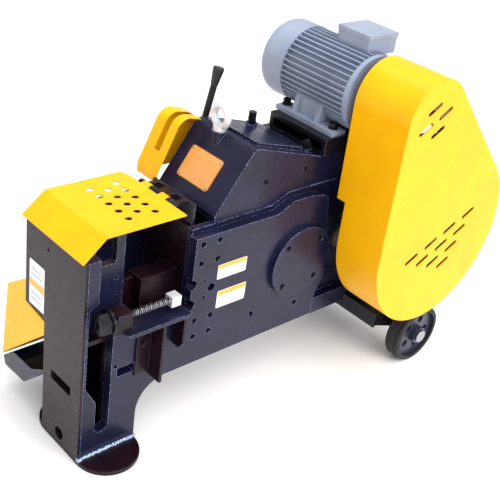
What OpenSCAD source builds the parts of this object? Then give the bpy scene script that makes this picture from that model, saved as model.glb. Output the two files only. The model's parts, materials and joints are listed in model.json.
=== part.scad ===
// Electric rebar cutter: a motor drives a flywheel by V-belts, two gear stages turn a clutch gear,
// and a throw on the crankshaft pushes a ram and its blade across the throat.
// X runs from the front leg to the wheels, Y across the machine, Z up.
// The origin is on the floor, at the leg's front face.

/* [Frame] */
// Height of the body's underside above the floor
body_gap = 165; // [150:1:200]
// Depth of the front leg along X
leg_depth = 160; // [150:1:175]
// Free length of the throat, from the front column to the gear case
throat_len = 213; // [200:1:260]
// Height of the throat's floor above the body's underside
throat_floor = 149; // [140:1:155]
// Height of the body's top edge above the body's underside
body_h = 360; // [350:1:400]
// Thickness of the two C-shaped side plates
plate_t = 25; // [16:1:30]
// Thickness of the gear case walls
wall_t = 16; // [10:1:20]
// Thickness of the front plate
front_t = 8; // [6:1:12]
// Thickness of the foot plate
foot_t = 12; // [8:1:20]
// Width of the leg across Y
leg_w = 154; // [140:1:180]

/* [Crank and ram] */
// Radius of the crankshaft
crank_shaft_r = 35; // [28:1:42]
// Throw of the crank, half the blade's stroke
crank_throw = 20; // [14:1:24]
// Width of the connecting rod
rod_w = 36; // [30:1:44]
// Length of the connecting rod between centres
rod_len = 150; // [140:1:180]
// Wall of the connecting rod's large end
rod_wall = 18; // [12:1:22]
// Radius of the connecting rod's nose
nose_r = 22; // [16:1:24]
// Width of the ram
ram_w = 50; // [44:1:54]
// Height of the ram above the crank's axis
ram_up = 44; // [38:1:52]
// Height of the ram below the crank's axis
ram_down = 66; // [58:1:80]

/* [Blades] */
// Thickness of a blade across the shear plane
blade_t = 20; // [14:1:26]
// Height of a blade
blade_h = 72; // [50:1:84]
// Depth of a blade along the stroke
blade_d = 32; // [24:1:40]
// Gap between the two blades at the shear plane
shear_gap = 1; // [0.5:0.1:1.5]
// How far the moving blade passes the fixed one
blade_pass = 2; // [1:0.5:4]

/* [Gears] */
// Tooth module
gear_m = 5; // [4.5:0.1:5.5]
// Face width of the first gear stage
stage1_w = 26; // [20:1:32]
// Face width of the clutch gear
clutch_gear_w = 34; // [26:1:42]
// Radius of the pinion shafts
lay_r = 20; // [14:1:21]

/* [Clutch] */
// Width of the clutch collar
collar_w = 20; // [18:1:26]
// Travel of the clutch collar
collar_travel = 10; // [8:0.5:12]

/* [Drive] */
// Radius of the flywheel
flywheel_r = 225; // [190:1:232]
// Width of the flywheel's rim
flywheel_w = 80; // [66:1:90]
// Radius of the motor pulley
pulley_r = 48; // [40:1:56]
// Pitch of the V-belts across Y
belt_pitch = 20; // [17:1:22]

/* [Belt guard] */
// Radius of the guard round the motor pulley
guard_r_small = 103; // [95:1:125]
// Radius of the guard round the flywheel
guard_r_big = 248; // [240:1:290]
// Depth of the guard across Y
guard_depth = 142; // [135:1:170]
// Thickness of the guard's sheet
sheet_t = 3; // [2:0.5:4]

/* [Motor] */
// Height of the motor's shaft above its mount
motor_h = 103; // [103:1:122]
// Radius over the cooling fins
motor_r = 101; // [90:1:110]
// Length of the finned housing
motor_len = 227; // [200:1:260]
// Length of the fan cowl
cowl_len = 90; // [70:1:110]
// Height of a cooling fin
fin_h = 12; // [8:1:14]

/* [Wheels] */
// Radius of a wheel
wheel_r = 87; // [70:1:105]
// Width of a wheel
wheel_w = 60; // [40:1:70]
// Radius of the axle
axle_r = 12; // [8:1:16]

/* [Top cover] */
// Height of the cover's panel above the body's top edge
cover_rise = 73; // [60:1:90]
// Radius of the cover's vent holes
vent_r = 8.5; // [5:0.5:12]

/* [Stop screw] */
// Radius of the stop screw over its thread
screw_r = 9; // [7:0.5:12]
// Thread pitch of the stop screw
screw_pitch = 4; // [2:0.5:6]
// Width of the stop screw's square pad
pad_w = 26; // [22:1:34]

/* [Fits] */
// Radial clearance of a running fit
run_gap = 0.05; // [0.01:0.01:0.1]
// Clearance between pieces that slide past each other
gap = 0.5; // [0.3:0.1:0.8]
// Clearance of a seated bush
seat_gap = 0.02; // [0.01:0.01:0.05]

/* [Hidden] */
$fn = 64;

// Colours
navy = "#2b2b40";
dark = "#17141f";
yellow = "#ffd800";
steel = "#b9bdc6";
motor_grey = "#c9cfdd";
brass = "#c9a25a";
white = "#f4f4f4";

// Stations across the machine, near side first
near_y = -133;
case_y0 = near_y + plate_t;
in_y0 = case_y0 + wall_t;
stage1_y0 = in_y0 + 4;
stage1_y1 = stage1_y0 + stage1_w;
rod_y0 = stage1_y1 + 6;
rod_y1 = rod_y0 + rod_w;
collar_y0 = rod_y1 + 4;
collar_y1 = collar_y0 + collar_w;
dog_len = 7;
clutch_y0 = collar_y1 + dog_len + 5;
clutch_y1 = clutch_y0 + clutch_gear_w;
in_y1 = clutch_y1 + 13;
case_y1 = in_y1 + wall_t;
far_y = case_y1 + plate_t;
rod_y = (rod_y0 + rod_y1) / 2;

// Stations along the machine
column_x = 37;
notch_x = 81;
throat_x = notch_x + throat_len;
case_x0 = throat_x + 6;
plate_end = throat_x + 444;
rear_x = throat_x + 766;

// Heights
floor_z = body_gap + throat_floor;
top_z = body_gap + body_h;
cover_z = top_z + cover_rise;
head_z = top_z + 23;
step_z = floor_z + 10;
bench_z = floor_z + 46;

// Crank, gears and shafts
crank = [throat_x + 354, body_gap + 201];
pinion1_n = 12;
wheel1_n = 54;
pinion2_n = 16;
clutch_n = 56;
stage1_dist = gear_m * (pinion1_n + wheel1_n) / 2;
stage2_dist = gear_m * (pinion2_n + clutch_n) / 2;
lay_angle = 2.2;
drive_angle = 20.95;
lay = crank + stage2_dist * [cos(lay_angle), sin(lay_angle)];
drive = lay + stage1_dist * [cos(drive_angle), sin(drive_angle)];
eccentric_r = crank_shaft_r + crank_throw + 2;
rod_r = eccentric_r + rod_wall;
bush_wall = 15;
crank_bush_r = crank_shaft_r + bush_wall;
lay_bush_r = lay_r + 10;

// Ram: the shear plane is its far face
shear_y = rod_y + ram_w / 2;
stroke = 2 * crank_throw;
nose_x = crank[0] + crank_throw - rod_len;
nose_slack = 0.22 * crank_throw + 1;
ram_x0 = notch_x + 119;
ram_x1 = nose_x + 30;
blade_front = ram_x0 - blade_d;
fixed_x1 = blade_front - stroke + blade_pass;
rod_arm_w = 24;

// Motor and guard
mount_z = body_gap + 522;
motor = [throat_x + 524, mount_z + motor_h];
motor_y1 = 97;
motor_y0 = motor_y1 - motor_len;
guard_small = motor + [10, 4];
guard_big = [drive[0], drive[1]];
guard_y0 = -322;
guard_y1 = guard_y0 + guard_depth;
belt_y = (guard_y0 + guard_y1) / 2 + 21;
belts = 3;
shell_r = motor_r - fin_h;

// Cover, lever and eye
cover_x0 = column_x + 9;
cover_x1 = cover_x0 + throat_len - 6;
hinge = [cover_x1 + 12, cover_z - 6];
slope_x0 = throat_x + 69;
slope_foot = top_z + 28;
case_top = top_z + 171;
case_back = top_z + 115;
lever_pivot = [throat_x + 181, top_z + 35];
lever_y0 = far_y + 4;
lever_y1 = far_y + 32;
rail = crank + [-88, 134];
eye = [throat_x + 166, 20, case_top + 41];

// Stop screw
screw_y = near_y - 17;
screw_z = bench_z + 38;
screw_x0 = 22;
screw_x1 = notch_x + 159;

// Wheels
axle = [throat_x + 740, wheel_r];
near_wheel_y = -306;
far_wheel_y = far_y + 56;

// Points along a circle's arc, from angle a0 to a1
function arc(c, r, a0, a1, n = 12) =
    [for (i = [0 : n]) c + r * [cos(a0 + (a1 - a0) * i / n), sin(a0 + (a1 - a0) * i / n)]];

// A point of the involute of a circle of radius rb, after t degrees
function involute(rb, t) = rb * [cos(t) + t * PI / 180 * sin(t), sin(t) - t * PI / 180 * cos(t)];

function turned(p, a) = [p[0] * cos(a) - p[1] * sin(a), p[0] * sin(a) + p[1] * cos(a)];

// Roll angle at which the involute reaches radius r
function roll(rb, r) = r <= rb ? 0 : sqrt(pow(r / rb, 2) - 1) * 180 / PI;

// A box from its limits
module bar(x, y, z) {
    translate([x[0], y[0], z[0]]) cube([x[1] - x[0], y[1] - y[0], z[1] - z[0]]);
}

// A cylinder along Y, at the point p of the XZ plane
module y_rod(p, r, y0, y1, n = 64) {
    translate([p[0], y1, p[1]]) rotate([90, 0, 0]) cylinder(h = y1 - y0, r = r, $fn = n);
}

// A cylinder along X, at the point p of the YZ plane
module x_rod(p, r, x0, x1, n = 64) {
    translate([x0, p[0], p[1]]) rotate([0, 90, 0]) cylinder(h = x1 - x0, r = r, $fn = n);
}

module z_rod(p, r, z0, z1, n = 64) {
    translate([p[0], p[1], z0]) cylinder(h = z1 - z0, r = r, $fn = n);
}

// An XZ outline given thickness along Y
module y_plate(y0, y1) {
    translate([0, y1, 0]) rotate([90, 0, 0]) linear_extrude(y1 - y0) children();
}

// A YZ outline given thickness along X
module x_plate(x0, x1) {
    translate([x0, 0, 0]) rotate([90, 0, 90]) linear_extrude(x1 - x0) children();
}

// A round hull of two circles, with exact arcs
module belt_outline(a, ra, b, rb) {
    d = norm(b - a);
    heading = atan2(b[1] - a[1], b[0] - a[0]);
    lean = acos((ra - rb) / d);
    up = heading + lean;
    down = heading - lean;
    translate(a) circle(r = ra, $fn = 96);
    translate(b) circle(r = rb, $fn = 96);
    polygon([a + ra * [cos(up), sin(up)], b + rb * [cos(up), sin(up)],
        b + rb * [cos(down), sin(down)], a + ra * [cos(down), sin(down)]]);
}

// A spur gear's outline with involute flanks; tooth 0 points along +X
module gear_outline(teeth) {
    pressure = 25;
    backlash = 0.3;
    rp = gear_m * teeth / 2;
    rb = rp * cos(pressure);
    tip = rp + 0.9 * gear_m;
    root = rp - 1.2 * gear_m;
    low = max(rb, root);
    t_pitch = roll(rb, rp);
    at_pitch = t_pitch - pressure;
    half = 90 / teeth - backlash / 2 / rp * 180 / PI + at_pitch;
    t0 = roll(rb, low);
    t1 = roll(rb, tip);
    flank = [for (i = [0 : 3]) turned(involute(rb, t0 + (t1 - t0) * i / 3), -half)];
    fall = [for (i = [3 : -1 : 0]) [flank[i][0], -flank[i][1]]];
    foot_a = atan2(flank[0][1], flank[0][0]);
    foot0 = root * [cos(foot_a - 0.2), sin(foot_a - 0.2)];
    foot1 = [foot0[0], -foot0[1]];
    tooth = concat([foot0], flank, fall, [foot1]);
    polygon([for (k = [0 : teeth - 1]) for (p = tooth) turned(p, k * 360 / teeth)]);
}

module gear(p, teeth, phase, y0, y1) {
    y_plate(y0, y1) translate(p) rotate(phase) gear_outline(teeth);
}

// Top edge of the side plates and, raised, of the gear case walls
function shoulder(rise) = [[throat_x + 254, top_z + rise], [throat_x + 305, top_z + 24 + rise]];

// ---- frame ----

slot_w = 25;
anchor_r = 17;

module front_plate() {
    leg_far = near_y + leg_w;
    color(dark) x_plate(0, front_t) difference() {
        polygon([[near_y, foot_t], [leg_far, foot_t], [leg_far, floor_z], [leg_far + 12, step_z],
            [far_y, step_z], [far_y, head_z], [near_y, head_z]]);
        translate([near_y + 79, foot_t + 26]) circle(r = anchor_r);
        translate([near_y + 39, body_gap + 12]) square([82, slot_w]);
        translate([near_y + 145, top_z - 17]) circle(r = 4);
    }
}

// Hole pattern of the throat side of the near plate: rows of two screws
screw_rows = [for (z = [341, 290, 130, 84]) for (x = [21, 70]) [throat_x + x, body_gap + z]];
lone_screws = [[throat_x + 212, body_gap + 83], [throat_x + 370, body_gap + 64]];
screw_hole_r = 8;

module throat_cut() {
    bite = 14;
    translate([notch_x, bench_z]) square([leg_depth - notch_x + 12, top_z]);
    polygon([[leg_depth, bench_z], [leg_depth + 18, floor_z], [throat_x, floor_z], [throat_x, top_z + 60],
        [notch_x, top_z + 60]]);
    translate([throat_x, body_gap + 236]) circle(r = bite);
    translate([throat_x, body_gap + 180]) circle(r = bite);
    translate([column_x, top_z - 85]) square([throat_x - column_x, 200]);
}

module leg_notch() {
    polygon([[14, body_gap + 52], [44, body_gap], [44, foot_t + 78], [notch_x, foot_t + 78],
        [notch_x, top_z], [column_x, top_z], [column_x, top_z - 85], [14, top_z - 97]]);
    translate([(44 + notch_x) / 2, foot_t + 78]) circle(r = (notch_x - 44) / 2);
}

module plate_outline() {
    arch = 80;
    polygon(concat([[front_t, foot_t], [leg_depth, foot_t]],
        arc([leg_depth + arch, body_gap - arch + 2], arch, 180, 90),
        [[plate_end, body_gap + 2], [plate_end, body_gap + 59], [plate_end + 24, body_gap + 118],
            [plate_end + 7, body_gap + 232]],
        arc([plate_end - 43, top_z - 13], 30, 0, 90, 6),
        [shoulder(0)[1] + [60, 0], shoulder(0)[1], shoulder(0)[0],
            [throat_x, top_z], [throat_x, head_z], [front_t, head_z]]));
}

module near_side_plate() {
    color(navy) difference() {
        y_plate(near_y, case_y0) difference() {
            plate_outline();
            throat_cut();
            leg_notch();
            translate([97, body_gap + 52]) square([47, 24]);
            translate([78 + 14, body_gap + 84]) circle(r = 5);
        }
        y_rod(crank, crank_bush_r, near_y - 1, case_y0 + 1);
        for (p = concat(screw_rows, lone_screws)) y_rod(p, screw_hole_r, near_y - 1, case_y0 + 1, 24);
        for (a = [45, 135, 225, 315])
            y_rod([throat_x + 62, body_gap + 213] + 30 * [cos(a), sin(a)], 4, near_y - 1, case_y0 + 1, 16);
        y_rod([throat_x + 62, body_gap + 213], 11, near_y - 1, case_y0 + 1, 32);
    }
}

// The far plate's throat is the shorter one: its edge is at far_throat
far_throat = 170;

module far_side_plate() {
    color(navy) difference() {
        y_plate(case_y1, far_y) difference() {
            plate_outline();
            translate([notch_x, bench_z]) square([far_throat - notch_x, top_z]);
            translate([column_x, top_z - 85]) square([far_throat - column_x, 200]);
            square([leg_depth / 2 + 20, step_z]);
            square([leg_depth + 70, body_gap - 20]);
        }
        y_rod(crank, crank_bush_r, case_y1 - 1, far_y + 1);
        for (p = screw_rows) y_rod(p, screw_hole_r, case_y1 - 1, far_y + 1, 24);
    }
}

cheek_t = 18;

// Far cheek of the leg, its inner web and rib, and the head's floor on top of them
module leg_far_cheek() {
    leg_far = near_y + leg_w;
    color(navy) {
        bar([front_t, leg_depth], [leg_far - cheek_t, leg_far], [foot_t, floor_z - 2]);
        bar([leg_depth - 18, leg_depth - 10], [in_y0 + 5, leg_far - cheek_t + 2], [foot_t, floor_z - 2]);
        bar([notch_x, notch_x + 16], [case_y0, case_y0 + 15], [foot_t + 78, floor_z - 2]);
        bar([front_t, ram_x0 - stroke - 8], [case_y0, case_y1], [floor_z - 2, step_z]);
    }
}

module foot_plate() {
    half = leg_depth / 2;
    y = [near_y - 2, near_y + leg_w - 10];
    color(dark) linear_extrude(foot_t) {
        translate([0, y[0]]) square([leg_depth, y[1] - y[0]]);
        for (end = y) translate([half, end]) circle(r = half, $fn = 96);
    }
}

module foot_weld() {
    color(steel) x_plate(2, leg_depth - 2)
        polygon([[near_y, foot_t], [near_y - 11, foot_t], [near_y - 8, foot_t + 7], [near_y, foot_t + 10]]);
}

// Shared outline of the two gear case walls; the near one has a skirting rail behind the side plate
module wall_outline() {
    polygon([[case_x0, body_gap], [rear_x, body_gap], [rear_x, top_z - 5], [rear_x - 200, top_z + 37],
        [shoulder(13)[1][0] + 50, top_z + 37], shoulder(13)[1], shoulder(13)[0], [case_x0, top_z + 11]]);
}

module wall_bores(y0, y1) {
    y_rod(crank, crank_bush_r, y0, y1);
    y_rod(lay, lay_bush_r, y0, y1);
    y_rod(drive, lay_bush_r, y0, y1);
    y_rod(rail, rail_r + seat_gap, y0, y1);
    for (p = screw_rows) y_rod(p, screw_hole_r, y0, y1, 24);
}

rail_r = 10;

module case_near_wall() {
    color(navy) difference() {
        union() {
            y_plate(case_y0, in_y0) wall_outline();
            bar([plate_end + 2, plate_end + 137], [near_y, case_y0 + 1], [body_gap, body_gap + 50]);
        }
        wall_bores(case_y0 - 1, in_y0 + 1);
        for (p = lone_screws) y_rod(p, screw_hole_r, case_y0 - 1, in_y0 + 1, 24);
    }
}

module case_far_wall() {
    color(navy) difference() {
        y_plate(in_y1, case_y1) wall_outline();
        wall_bores(in_y1 - 1, case_y1 + 1);
    }
}

ram_window_y = [rod_y - ram_w / 2 - gap, rod_y + ram_w / 2 + gap];
ram_window_z = [crank[1] - ram_down - gap, crank[1] + ram_up + gap];

module case_front_wall() {
    color(navy) difference() {
        bar([case_x0, case_x0 + wall_t], [in_y0, in_y1], [body_gap + wall_t, top_z + 10]);
        bar([case_x0 - 1, case_x0 + wall_t + 1], ram_window_y, ram_window_z);
    }
}

module case_floor() {
    color(navy) {
        bar([case_x0, rear_x], [in_y0, in_y1], [body_gap, body_gap + wall_t]);
        bar([rear_x - wall_t, rear_x], [in_y0, in_y1], [body_gap + wall_t, top_z - 10]);
    }
}

module ram_guides() {
    x0 = case_x0 + wall_t;
    x1 = x0 + 124;
    color(steel) {
        bar([x0, x1], [in_y0, in_y1], [ram_window_z[1], ram_window_z[1] + 20]);
        bar([x0, x1], [in_y0, in_y1], [ram_window_z[0] - 20, ram_window_z[0]]);
        bar([x0, x1], [in_y0, ram_window_y[0]], ram_window_z);
        bar([x0, x1], [ram_window_y[1], in_y1], ram_window_z);
    }
}

// Rail that the clutch fork slides on
module fork_rail() {
    color(steel) y_rod(rail, rail_r, case_y0 + 1, case_y1 - 1);
}

// ---- gear case cover ----

cover_end = throat_x + 566;
cover_sheet = 8;
bend = [slope_x0 + 114, case_top - 22];
bend_r = 26;
slope_top_angle = 144;
slope_end = bend + bend_r * [cos(slope_top_angle), sin(slope_top_angle)];
slope_angle = atan2(slope_end[1] - slope_foot, slope_end[0] - slope_x0);
boss_top = case_top + 5;

module cover_outline(in) {
    polygon(concat(
        [[cover_end - in, top_z + 37 - in], [shoulder(13)[1][0] + 50, top_z + 37 - in],
            shoulder(13)[1] - [0, in], shoulder(13)[0] - [0, in], [slope_x0 + in, top_z + 13 - in]],
        [[slope_x0 + in, slope_foot + in / 3]],
        arc(bend, bend_r - in, slope_top_angle, 76, 6),
        [[throat_x + 396, case_back - in], [cover_end - in, case_back - in]]));
}

lid_x = [throat_x + 196, throat_x + 350];

module case_cover() {
    color(navy) difference() {
        union() {
            difference() {
                y_plate(near_y + 27, far_y + 2) cover_outline(0);
                y_plate(near_y + 27 + cover_sheet, far_y + 2 - cover_sheet) cover_outline(cover_sheet);
            }
            // Inspection lid, lying on the sloping top
            y_plate(near_y + 49, far_y - 22) polygon([[lid_x[0], case_top - 4], [lid_x[0], case_top + 9],
                [lid_x[1], case_back + 24], [lid_x[1], case_back + 10]]);
            // Bosses for the lifting eye, the mount's adjusting stud and the oil filler
            z_rod([eye[0], eye[1]], 20, case_top - 30, boss_top);
            z_rod(stud, 14, case_back - 6, case_back + 15, 32);
            z_rod(filler, 15, case_back + 20, case_back + 42, 32);
        }
        y_rod(lever_pivot, 12 + run_gap, far_y - 20, far_y + 20);
        for (p = cover_screws) y_rod(p, screw_hole_r, near_y + 20, near_y + 27 + cover_sheet + 1, 24);
    }
}

cover_screws = [[throat_x + 219, top_z + 84], [throat_x + 350, top_z + 92]];

eye_ring_r = 25;

module lifting_eye() {
    color(white) {
        translate(eye) rotate([0, 90, 0]) rotate_extrude($fn = 64) translate([eye_ring_r, 0])
            circle(r = 9, $fn = 32);
        z_rod([eye[0], eye[1]], 16, boss_top, eye[2] - eye_ring_r);
    }
}

module name_plate() {
    plate_l = 84;
    plate_w = 115;
    color("#f0a860") translate([slope_x0, near_y + 87, slope_foot]) rotate([0, -slope_angle, 0])
        translate([35, 0, 0]) linear_extrude(2.5) {
            translate([8, 0]) square([plate_l - 16, plate_w]);
            translate([0, 8]) square([plate_l, plate_w - 16]);
            for (x = [8, plate_l - 8]) for (y = [8, plate_w - 8]) translate([x, y]) circle(r = 8, $fn = 24);
        }
}

module blank_labels() {
    color(white) {
        y_plate(near_y - 1, near_y) {
            translate([throat_x + 76, body_gap + 229]) square([91, 40]);
            translate([throat_x + 84, body_gap + 144]) square([92, 49]);
        }
        bar([-1, 0], [near_y + 157, near_y + 220], [floor_z + 18, floor_z + 136]);
    }
}

module bush(p, r_out, r_in, y0, y1) {
    difference() {
        y_rod(p, r_out - seat_gap, y0, y1);
        y_rod(p, r_in + run_gap, y0 - 1, y1 + 1);
    }
}

module shaft_bushes() {
    color(brass) {
        bush(crank, crank_bush_r, crank_shaft_r, near_y, in_y0);
        bush(crank, crank_bush_r, crank_shaft_r, in_y1, far_y);
        for (p = [lay, drive]) {
            bush(p, lay_bush_r, lay_r, case_y0, in_y0);
            bush(p, lay_bush_r, lay_r, in_y1, case_y1);
        }
    }
}

cap_r = 100;
cap_t = 14;
cap_screws = [for (a = [45, 135, 225, 315]) crank + 80 * [cos(a), sin(a)]];

module bearing_covers() {
    color(navy) for (side = [[near_y - cap_t, near_y], [far_y, far_y + cap_t]]) difference() {
        y_rod(crank, cap_r, side[0], side[1], 96);
        for (p = cap_screws) y_rod(p, 9, side[0] - 1, side[1] + 1, 24);
    }
}

// Socket-head screws of the plates, the bearing covers and the gear case cover
module socket_screw(p, r, y0, y1, socket = 6) {
    difference() {
        y_rod(p, r, y0, y1, 24);
        y_rod(p, r * 0.5, y0 - 1, y0 + socket, 6);
    }
}

module case_screws() {
    shank = screw_hole_r - seat_gap;
    color(dark) {
        for (p = screw_rows) socket_screw(p, shank, near_y + 3, in_y0);
        for (p = lone_screws) socket_screw(p, shank, near_y + 3, in_y0);
        for (p = cap_screws) socket_screw(p, 9 - seat_gap, near_y - cap_t + 3, near_y);
        for (p = cover_screws) socket_screw(p, shank, near_y + 24, near_y + 27 + cover_sheet);
        for (p = screw_rows) y_rod(p, shank, in_y1, far_y - 3, 24);
        for (p = cap_screws) y_rod(p, 9 - seat_gap, far_y, far_y + cap_t - 3, 24);
    }
}

// ---- blades and bar supports ----

seat_x1 = fixed_x1 - blade_d;
fixed_y0 = shear_y + shear_gap;
blade_z = [crank[1] - blade_h / 2, crank[1] + blade_h / 2];

module blade_seat() {
    color(navy) difference() {
        bar([front_t, seat_x1], [fixed_y0, fixed_y0 + 40], [step_z, blade_z[1] + 28]);
        for (z = blade_bolt_z) x_rod([fixed_y0 + blade_t / 2, z], 5, front_t + 10, seat_x1 + 1, 24);
    }
}

blade_bolt_z = [crank[1] - 18, crank[1] + 18];

module fixed_blade() {
    color(steel) difference() {
        bar([seat_x1, fixed_x1], [fixed_y0, fixed_y0 + blade_t], blade_z);
        for (z = blade_bolt_z) {
            x_rod([fixed_y0 + blade_t / 2, z], 5, seat_x1 - 1, fixed_x1 + 1, 24);
            x_rod([fixed_y0 + blade_t / 2, z], 8, fixed_x1 - 8, fixed_x1 + 1, 24);
        }
    }
}

module blade_bolts() {
    color(dark) for (z = blade_bolt_z) difference() {
        union() {
            x_rod([fixed_y0 + blade_t / 2, z], 5 - seat_gap, front_t + 14, fixed_x1 - 8, 24);
            x_rod([fixed_y0 + blade_t / 2, z], 8 - seat_gap, fixed_x1 - 8, fixed_x1 - 1, 24);
        }
        x_rod([fixed_y0 + blade_t / 2, z], 4, fixed_x1 - 5, fixed_x1, 6);
    }
}

// Near bar rest, with the post that carries the top cover
module bar_rest() {
    y0 = case_y0 + 33;
    y1 = y0 + 18;
    color(navy) difference() {
        union() {
            bar([front_t, notch_x + 58], [y0, y1], [step_z, top_z - 37]);
            bar([notch_x + 36, notch_x + 58], [y0, y1], [top_z - 37, cover_z - 1]);
        }
        for (z = [body_gap + 282, body_gap + 233]) y_rod([notch_x + 40, z], 5, y0 - 1, y1 + 1, 24);
    }
}

shelf_t = 10;
shelf_out = 53;

module side_shelf() {
    x0 = notch_x + 4;
    x1 = throat_x - 38;
    color(navy) translate([0, 0, bench_z]) linear_extrude(shelf_t)
        polygon([[x0, case_y0], [x1, case_y0], [x1, near_y - shelf_out], [x0, near_y - shelf_out],
            [x0 - 24, near_y - 12], [x0 - 24, near_y], [x0, near_y]]);
}

module gusset(x0, x1, out, z0, slope) {
    y_out = near_y - out;
    color(navy) x_plate(x0, x1) polygon([[near_y, z0], [near_y, bench_z], [y_out, bench_z],
        [y_out, z0 + slope * 0.3], [near_y - out * 0.7, z0]]);
}

module shelf_bracket() {
    pad_x = [leg_depth - 16, leg_depth + 22];
    gusset(leg_depth + 22, leg_depth + 30, shelf_out - 4, body_gap + 32, 0);
    gusset(throat_x - 46, throat_x - 38, shelf_out - 12, bench_z - 100, 60);
    color(navy) bar(pad_x, [near_y - 6, near_y], [body_gap + 40, bench_z]);
    color(dark) y_rod([leg_depth + 4, body_gap + 128], 11, near_y - 14, near_y - 6, 6);
}

block_x = [notch_x - 19, notch_x + 19];

module screw_block() {
    color(dark) difference() {
        bar(block_x, [near_y - 39, near_y], [bench_z + shelf_t, screw_z + 22]);
        x_rod([screw_y, screw_z], screw_r + run_gap, block_x[0] - 1, block_x[1] + 1);
    }
}

// ---- offcut chute, on the far side of the head ----

chute_x1 = leg_depth;

module offcut_hood() {
    top_in = [far_y, floor_z + 68];
    top_out = [far_y + 82, floor_z + 11];
    low_out = [far_y + 107, body_gap - 60];
    low_in = [near_y + leg_w + 1, floor_z - 39];
    color(yellow) {
        x_plate(0, sheet_t) polygon([top_in, top_out, low_out, low_in, [low_in[0], floor_z - 1],
            [far_y + 0.5, step_z - 0.5]]);
        x_plate(chute_x1 - sheet_t, chute_x1) polygon([top_in, top_out, low_out,
            [far_y + 0.5, floor_z - 70], [far_y + 0.5, step_z - 0.5]]);
        x_plate(sheet_t, chute_x1 - sheet_t) {
            polygon([top_in, top_out, top_out - [2, 3], top_in - [0, 4]]);
            polygon([top_out, low_out, low_out - [3, 0], top_out - [3.2, 2]]);
        }
    }
}

module offcut_tray() {
    color(navy) {
        x_plate(sheet_t, chute_x1 - sheet_t) polygon([[near_y + leg_w, body_gap + 11],
            [near_y + leg_w, body_gap + 7], [far_y + 4, body_gap - 84], [far_y + 95, body_gap - 90],
            [far_y + 104, body_gap - 66], [far_y + 101, body_gap - 66], [far_y + 93, body_gap - 86],
            [far_y + 5, body_gap - 80]]);
        x_plate(0, sheet_t) polygon([[near_y + leg_w, body_gap + 11], [far_y + 4, body_gap - 84],
            [far_y + 95, body_gap - 90], [far_y + 104, body_gap - 66], [far_y + 55, body_gap - 27],
            [far_y - 28, body_gap - 23]]);
    }
}

// ---- lever guard ----

module guard_strip_outline(in) {
    x0 = slope_x0 - 25;
    foot = top_z + 31;
    polygon(concat([[x0 + in, foot]], [[x0 + in, foot + 24]],
        arc([x0 + 82, case_top - 20], 36 - in, 156, 84, 6),
        [[throat_x + 164, case_top + 8 - in], [guard_end, case_top - 30 - in], [guard_end, foot]]));
}

guard_end = throat_x + 222;
lever_slot = 20;
slot_x = [slope_x0 - 4, guard_end - sheet_t];

module lever_guard() {
    y0 = far_y - 18;
    y1 = far_y + 62;
    mid = (lever_y0 + lever_y1) / 2;
    color(yellow) difference() {
        y_plate(y0, y1) guard_strip_outline(0);
        y_plate(y0 - 1, y1 - sheet_t) guard_strip_outline(sheet_t);
        bar([throat_x + 164, guard_end + 1], [y0 - 1, far_y + 3], [top_z, case_top + 50]);
        bar(slot_x, [mid - lever_slot / 2, mid + lever_slot / 2], [top_z + 60, case_top + 50]);
        y_rod(lever_pivot, 12 + run_gap, y0, y1 + 1);
    }
}

// ---- motor and its mount ----

mount_x = [throat_x + 396, throat_x + 656];
mount_y = [-118, 84];
mount_t = 14;

module motor_mount() {
    y_in = [mount_y[0] + 12, mount_y[1] - 12];
    color(dark) {
        bar(mount_x, mount_y, [mount_z - mount_t, mount_z]);
        for (y = [mount_y[0], y_in[1]]) bar(mount_x, [y, y + 12], [case_back + 8, mount_z - mount_t]);
        bar([mount_x[0] + 4, mount_x[1]], mount_y, [case_back, case_back + 8]);
        bar([mount_x[1] - 30, mount_x[1]], [in_y0, in_y1], [top_z + 37 - 10.5, case_back]);
    }
}

stud = [mount_x[0] - 22, mount_y[0] + 42];
filler = [throat_x + 304, 55];
foot_pitch_x = 80;
foot_pitch_y = 84;
foot_y = -6;

module mount_bolts() {
    color(dark) {
        for (x = [-1, 1]) for (y = [-1, 1])
            translate([motor[0] + x * foot_pitch_x, foot_y + y * foot_pitch_y, mount_z + 12]) {
                cylinder(h = 4, r = 12, $fn = 32);
                translate([0, 0, 4]) cylinder(h = 12, r = 11, $fn = 6);
            }
        z_rod(stud, 6, case_back + 15, case_back + 36, 24);
        z_rod(stud, 12, case_back + 15, case_back + 29, 6);
        z_rod(filler, 11, case_back + 42, case_back + 54, 6);
        z_rod(filler, 9, case_back + 54, case_back + 57, 32);
        z_rod(filler, 10, case_back + 57, case_back + 71, 32);
    }
}

// Motor housing: finned shell, end shield and feet
module fin_ring() {
    fins = 44;
    circle(r = shell_r, $fn = 96);
    for (k = [0 : fins - 1]) rotate(k * 360 / fins) translate([shell_r - 2, -1.5]) square([fin_h + 2, 3]);
}

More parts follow.
